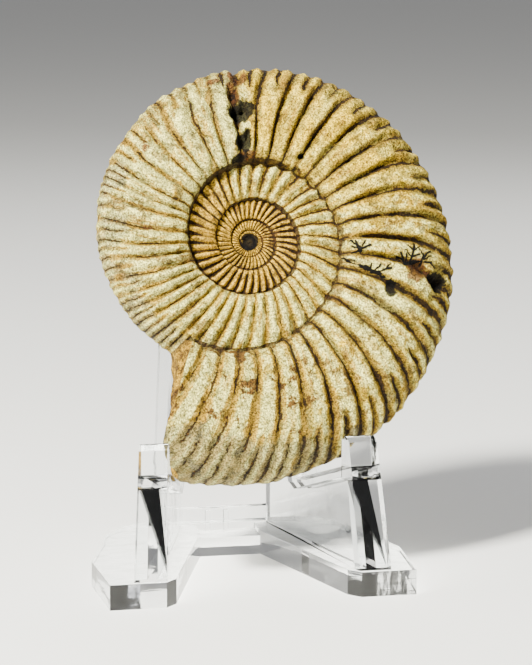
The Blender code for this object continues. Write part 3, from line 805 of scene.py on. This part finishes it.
# %% Values that the stone reads
stone = bpy.data.materials.new("limestone_stained")
stone.use_nodes = True
tree = stone.node_tree
shader = tree.nodes["Principled BSDF"]
place = read(tree, "coil_place", "Vector")
count = read(tree, "rib_count")
height = read(tree, "height")
tint = add_node(tree, "ShaderNodeSeparateColor")
wire(tree, read(tree, "stone_tint", "Color"), tint.inputs[0])
warm, lines, pale = tint.outputs[0], tint.outputs[1], tint.outputs[2]
grey = read(tree, "stone_tint", "Alpha")
# Red holds the painted shade of the hollows and the pit, green the iron red, blue the yellow, alpha the seams
mark = add_node(tree, "ShaderNodeSeparateColor")
wire(tree, read(tree, "stain_and_painted_shade", "Color"), mark.inputs[0])
dark, red, yellow = mark.outputs[0], mark.outputs[1], mark.outputs[2]
seam = read(tree, "stain_and_painted_shade", "Alpha")
inner = read(tree, "inner")
broken = read(tree, "broken")
print("nodes that read the mesh", len(tree.nodes))


# %% [markdown]
# Then come noise from patches down to single grains, and two masks for every furrow, a wide one for the soft
# ochre and a thin one for the dirt. The rib count is shaken a little by the noise, so that no line runs as
# if it were ruled.

# %% Masks of the stone
def stone_math(operation, *values):
    """One step of arithmetic in the stone's tree."""
    return math_node(stone.node_tree, operation, *values)


def ragged(amount, frayed_by, strength):
    """A ragged mask: amount * strength, frayed by a noise."""
    return use_group(stone.node_tree, mask_group, stone_math("MULTIPLY", amount, strength), frayed_by)[0]


def coat(below, above, mask, strength):
    """Lays a colour over the one below by mask * strength."""
    return blend(stone.node_tree, stone_math("MULTIPLY", mask, strength), below, above)


patches = noise(tree, place, 130.0, 3.0, 0.6)
blotches = noise(tree, place, 420.0, 4.0, 0.65)
grain = noise(tree, place, 1300.0, 3.0, 0.75)
fine = noise(tree, place, 2300.0, 2.0, 0.75)
wander = stone_math("MULTIPLY_ADD", stone_math("SUBTRACT", blotches, 0.5), 0.28, count)
along_ribs = add_node(tree, "ShaderNodeCombineXYZ")
wire(tree, stone_math("MULTIPLY", wander, 2.4), along_ribs.inputs[0])
wire(tree, stone_math("MULTIPLY", height, 5.5), along_ribs.inputs[1])
wire(tree, stone_math("MULTIPLY", wander, 1.7), along_ribs.inputs[2])
streaks = noise(tree, along_ribs.outputs[0], 1.0, 5.0, 0.68)
smudges = noise(tree, place, 230.0, 5.0, 0.7)
wander_far = stone_math("MULTIPLY_ADD", stone_math("SUBTRACT", patches, 0.5), 0.12, wander)
branch_shift = stone_math("ADD", wander_far, ramp(tree, height, 0.80, 0.95, 0.38, 0.50))
branch_share = ramp(tree, height, 0.80, 0.90)

wide = use_group(tree, line_group, wander_far, 0.36)[0]
wide_branch = stone_math("MULTIPLY", use_group(tree, line_group, branch_shift, 0.24)[0], branch_share)
wide = stone_math("MAXIMUM", wide, wide_branch)
thin = use_group(tree, line_group, wander_far, stone_math("MULTIPLY_ADD", inner, 0.26, 0.12))[0]
thin_branch = stone_math("MULTIPLY", use_group(tree, line_group, branch_shift, 0.10)[0], branch_share)
thin = stone_math("MAXIMUM", thin, thin_branch)
print("nodes for the masks", len(tree.nodes))


# %% [markdown]
# The colour is laid on in coats, mostly the way that the stone got it: cream stone first, then crust, ochre
# and smudges, and last the dirt in the furrows, the darkening along the seam, the iron red and the painted
# shade in the hollows. Every coat has its own mask, so one can be made stronger without touching the others.

# %% Coats of colour
colour = blend(tree, ramp(tree, patches, 0.38, 0.64), CREAM, YELLOW)
colour = coat(colour, ORANGE, inner, 0.9)
crust = use_group(tree, mask_group, stone_math("MULTIPLY_ADD", wide, -0.45, pale), blotches)[0]
colour = blend(tree, crust, colour, IVORY)
colour = blend(tree, ragged(yellow, blotches, 1.15), colour, YELLOW)
warm_amount = stone_math("MULTIPLY", warm, stone_math("MULTIPLY_ADD", wide, 1.0, 0.12))
colour = coat(colour, OCHRE, use_group(tree, mask_group, warm_amount, blotches)[0], 0.85)
colour = blend(tree, ramp(tree, streaks, 0.50, 0.64, 0.0, 0.8), colour, OCHRE)
colour = coat(colour, IVORY, ramp(tree, streaks, 0.48, 0.38, 0.0, 0.7), pale)
colour = coat(colour, UMBER, ramp(tree, smudges, 0.52, 0.61), warm)
colour = coat(colour, MOSS, ragged(grey, patches, 0.8), 0.5)
line_amount = stone_math("MULTIPLY", thin, stone_math("MULTIPLY_ADD", lines, 1.05, 0.05))
line_amount = stone_math("MULTIPLY", line_amount, ramp(tree, patches, 0.36, 0.58, 0.5, 1.2))
line_mask = ragged(line_amount, grain, 0.85)
colour = coat(colour, BROWN, line_mask, 0.95)
colour = coat(colour, UMBER, ramp(tree, grain, 0.57, 0.66), stone_math("MULTIPLY_ADD", wide, 0.4, 0.55))
# The seams darker, in two coats
colour = coat(colour, UMBER, seam, 0.4)
colour = coat(colour, BROWN, ragged(seam, blotches, 0.85), 0.9)
colour = coat(colour, RUST, ragged(red, blotches, 0.95), 0.9)
# Painted shade: black in the hollows and the middle pit
colour = coat(colour, BLACK, use_group(tree, mask_group, dark, blotches)[0], 0.97)
broken_colour = blend(tree, ramp(tree, blotches, 0.4, 0.6), UMBER, OCHRE)
colour = coat(colour, broken_colour, broken, 0.9)
print("nodes with the coats", len(tree.nodes))


# %% [markdown]
# The stain trees lie over all the rest. The distance to the nearest stroke is taken in the plane of the coil,
# on the front only, after every place was shaken by fine noise, which frays the strokes as real stain does.

# %% Stain trees
SHAKE_SCALE = 900.0
SHAKE = 0.9 * MM
STROKE_EDGE, STROKE_CORE, HALO_EDGE = 0.12 * MM, -0.02 * MM, 0.6 * MM
flat = vector_node(tree, "MULTIPLY", place, (1.0, 0.0, 1.0))
shaken = add_node(tree, "ShaderNodeTexNoise")
wire(tree, place, shaken.inputs["Vector"])
shaken.inputs["Scale"].default_value = SHAKE_SCALE
shift = vector_node(tree, "MULTIPLY", vector_node(tree, "SUBTRACT", shaken.outputs["Color"], (0.5, 0.5, 0.5)),
                    (SHAKE, 0.0, SHAKE))
flat = vector_node(tree, "ADD", flat, shift)
nearest = 1.0
for x0, z0, x1, z1, half in STROKES:
    distance = use_group(tree, stroke_group, flat, (x0 * MM, 0.0, z0 * MM), (x1 * MM, 0.0, z1 * MM),
                         half * MM)[0]
    nearest = stone_math("MINIMUM", nearest, distance)
parts = add_node(tree, "ShaderNodeSeparateXYZ")
wire(tree, place, parts.inputs[0])
on_front_side = ramp(tree, parts.outputs[1], -1.0 * MM, -3.0 * MM)
halo = stone_math("MULTIPLY", ramp(tree, nearest, HALO_EDGE, 0.0), on_front_side)
colour = coat(colour, UMBER, halo, 0.35)
colour = coat(colour, BLACK, ramp(tree, nearest, STROKE_EDGE, STROKE_CORE), on_front_side)
print("nodes with the stain trees", len(tree.nodes))


# %% [markdown]
# Worn limestone is sandy: each grain is a little lighter or darker than the next and stands out or lies back.
# The same grain noise goes into the colour and into the bump, so that what looks dark also lies deeper. The
# furrows are darkened in the colour too, as painted shade.

# %% Grain, painted furrow shade and finish
BUMP_DEPTH = 1.5 * MM
STONE_SHINE = 0.15
shade = stone_math("MULTIPLY", ramp(tree, fine, 0.38, 0.60, 0.30, 1.25),
                   ramp(tree, grain, 0.34, 0.62, 0.55, 1.12))
shade = stone_math("MULTIPLY", shade, ramp(tree, blotches, 0.34, 0.62, 0.58, 1.15))
# Painted shade: the base colour darker in the furrows, down to 0.42 of it
painted_furrow_shade = stone_math("MULTIPLY", wide, lines)
shade = stone_math("MULTIPLY", shade, ramp(tree, painted_furrow_shade, 0.0, 1.0, 1.0, 0.42))
toned = add_node(tree, "ShaderNodeVectorMath", operation="SCALE")
wire(tree, colour, toned.inputs[0])
wire(tree, shade, toned.inputs["Scale"])
wire(tree, toned.outputs[0], shader.inputs["Base Color"])
shader.inputs["Specular IOR Level"].default_value = STONE_SHINE
wire(tree, ramp(tree, grain, 0.3, 0.7, 0.68, 0.9), shader.inputs["Roughness"])
bump = add_node(tree, "ShaderNodeBump")
bump.inputs["Strength"].default_value = 1.0
bump.inputs["Distance"].default_value = BUMP_DEPTH
relief = stone_math("MULTIPLY_ADD", grain, 0.6, stone_math("MULTIPLY", fine, 0.4))
relief = stone_math("MULTIPLY_ADD", line_mask, -0.35, relief)
wire(tree, relief, bump.inputs["Height"])
wire(tree, bump.outputs[0], shader.inputs["Normal"])
shell.data.materials.append(stone)
print("stone nodes", len(tree.nodes))


# %% [markdown]
# The stand is one clear moulding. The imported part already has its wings, posts, rails and flange, as loose
# triangles, so a copy is merged first and its edges are rounded a little: moulded plastic has no sharp
# corners, and the rounding is what catches the light along every edge.

# %% The shape of the clear stand
EDGE_ROUNDING = 0.35 * MM
MERGE_WITHIN = 0.02 * MM
# Faces that meet at less than this are one flat face, and edges sharper than this are rounded
FLAT_WITHIN, SHARP_FROM = math.radians(1.0), math.radians(30.0)
stand_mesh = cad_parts["stand"].data.copy()
stand = bpy.data.objects.new("stand_clear", stand_mesh)
bpy.context.scene.collection.objects.link(stand)
work = bmesh.new()
work.from_mesh(stand_mesh)
bmesh.ops.remove_doubles(work, verts=work.verts, dist=MERGE_WITHIN)
bmesh.ops.dissolve_limit(work, angle_limit=FLAT_WITHIN, verts=work.verts, edges=work.edges)
bmesh.ops.recalc_face_normals(work, faces=work.faces)
work.to_mesh(stand_mesh)
print("stand faces", len(work.faces), "volume ml", round(work.calc_volume() * 1e6, 2),
      "open edges", sum(1 for edge in work.edges if not edge.is_manifold))
work.free()
rounding = stand.modifiers.new("rounded edges", "BEVEL")
rounding.width = EDGE_ROUNDING
rounding.segments = 2
rounding.limit_method = "ANGLE"
rounding.angle_limit = SHARP_FROM
print("edges rounded by", round(EDGE_ROUNDING / MM, 2), "mm")


# %% [markdown]
# Clear acrylic is smooth and fully see-through and bends light by an index of 1.49. Handling leaves fine
# scratches and moulding leaves slow ripples, which keep it from looking like perfect glass. Its shadow is
# left off, because the renderer would darken the floor below it as if it let no light through.

# %% Clear plastic
CLEAR_TINT = (0.97, 0.985, 0.99, 1.0)
CLEAR_IOR = 1.49
stand.data.materials.clear()
plastic = bpy.data.materials.new("clear_moulding")
plastic.use_nodes = True
tree = plastic.node_tree
shader = tree.nodes["Principled BSDF"]
place = add_node(tree, "ShaderNodeTexCoord").outputs["Object"]
shader.inputs["Base Color"].default_value = CLEAR_TINT
shader.inputs["Metallic"].default_value = 0.0
shader.inputs["Transmission Weight"].default_value = 1.0
shader.inputs["IOR"].default_value = CLEAR_IOR
scratch = noise(tree, place, 900.0, 3.0, 0.7)
wire(tree, ramp(tree, scratch, 0.45, 0.75, 0.015, 0.16), shader.inputs["Roughness"])
ripple = add_node(tree, "ShaderNodeBump")
ripple.inputs["Strength"].default_value = 0.25
ripple.inputs["Distance"].default_value = 0.3 * MM
wire(tree, noise(tree, place, 160.0, 2.0, 0.5), ripple.inputs["Height"])
wire(tree, ripple.outputs[0], shader.inputs["Normal"])
stand.data.materials.append(plastic)
stand.visible_shadow = False
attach(stand, "root")
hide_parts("stand")
print("clear plastic nodes", len(tree.nodes))


# %% [markdown]
# A plain pale floor carries the stand. It lies a hair below the plastic, because two faces in the same place
# would flicker. One sheet that reaches far past the camera's view is all that it needs.

# %% Floor
FLOOR_SIZE = 30.0
FLOOR_BELOW = 0.05 * MM
floor_corners = np.array([[-1, -1, 0], [1, -1, 0], [1, 1, 0], [-1, 1, 0]]) * FLOOR_SIZE / 2
floor = make_mesh("floor", floor_corners - (0.0, 0.0, FLOOR_BELOW), np.array([[0, 1, 2], [0, 2, 3]]))
paint = bpy.data.materials.new("pale_floor")
paint.use_nodes = True
paint.node_tree.nodes["Principled BSDF"].inputs["Base Color"].default_value = (0.80, 0.80, 0.79, 1.0)
paint.node_tree.nodes["Principled BSDF"].inputs["Roughness"].default_value = 0.6
floor.data.materials.append(paint)
floor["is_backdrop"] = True
print("floor", FLOOR_SIZE, "m wide")


# %% [markdown]
# Three soft lights and a pale surrounding, as in a small studio. The key light is the smallest and stands
# high on the left, so that every rib shows by its own shade; the others only open up the shadows.

# %% Lights
world = bpy.data.worlds.new("studio")
world.use_nodes = True
world.node_tree.nodes["Background"].inputs["Color"].default_value = (1.0, 1.0, 1.0, 1.0)
world.node_tree.nodes["Background"].inputs["Strength"].default_value = 0.30
bpy.context.scene.world = world


def soft_light(name, place, target, size, power, colour):
    """A square area light that faces its target."""
    data = bpy.data.lights.new(name, "AREA")
    data.size = size
    data.energy = power
    data.color = colour
    made = bpy.data.objects.new(name, data)
    made.location = place
    made.rotation_euler = (Vector(target) - Vector(place)).to_track_quat("-Z", "Y").to_euler()
    bpy.context.scene.collection.objects.link(made)
    return made


target = front_middle + Vector((3.8 * MM, 18.0 * MM, 61.4 * MM))
soft_light("key", target + Vector((-0.50, -0.40, 0.62)), target, 0.14, 46.0, (1.0, 0.98, 0.88))
soft_light("fill", target + Vector((0.7, -0.5, 0.25)), target, 0.6, 1.2, (0.95, 0.97, 1.0))
soft_light("back", target + Vector((0.3, 0.6, 0.6)), target, 0.5, 3.0, (1.0, 1.0, 1.0))
print("lights aim at", [round(value, 3) for value in target])


# %% [markdown]
# The camera stands where the photo was taken from: a little to the left of the middle and above level, about
# 0.6 m away, with a long lens. Its place is worked out from two angles and a distance, which can be read off
# more easily than three coordinates.

# %% Camera
AZIMUTH, ELEVATION, DISTANCE = -11.3, 9.5, 0.6
LENS, SENSOR, NEAREST_SEEN = 136.1, 36.0, 0.01
turn, rise = math.radians(AZIMUTH), math.radians(ELEVATION)
towards = Vector((math.sin(turn) * math.cos(rise), -math.cos(turn) * math.cos(rise), math.sin(rise)))
camera_data = bpy.data.cameras.new("camera")
camera_data.lens = LENS
camera_data.sensor_width = SENSOR
camera_data.clip_start = NEAREST_SEEN
camera = bpy.data.objects.new("camera", camera_data)
camera.location = target + towards * DISTANCE
camera.rotation_euler = (-towards).to_track_quat("-Z", "Y").to_euler()
bpy.context.scene.collection.objects.link(camera)
bpy.context.scene.camera = camera
print("camera at", [round(value, 3) for value in camera.location])


# %% [markdown]
# The finished pieces have to keep to the space of the plain ones that they replace, so both boxes are
# written down side by side.

# %% Write the boxes and finish
def plain_lists(bounds):
    """Boxes as plain lists of numbers."""
    if isinstance(bounds, dict):
        return {name: plain_lists(value) for name, value in bounds.items()}
    return [[float(value) for value in corner] for corner in bounds]


bpy.context.view_layer.update()
print("visual box", plain_lists(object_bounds()))
{"cad": plain_lists(cad_bounds), "visual": plain_lists(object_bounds())}
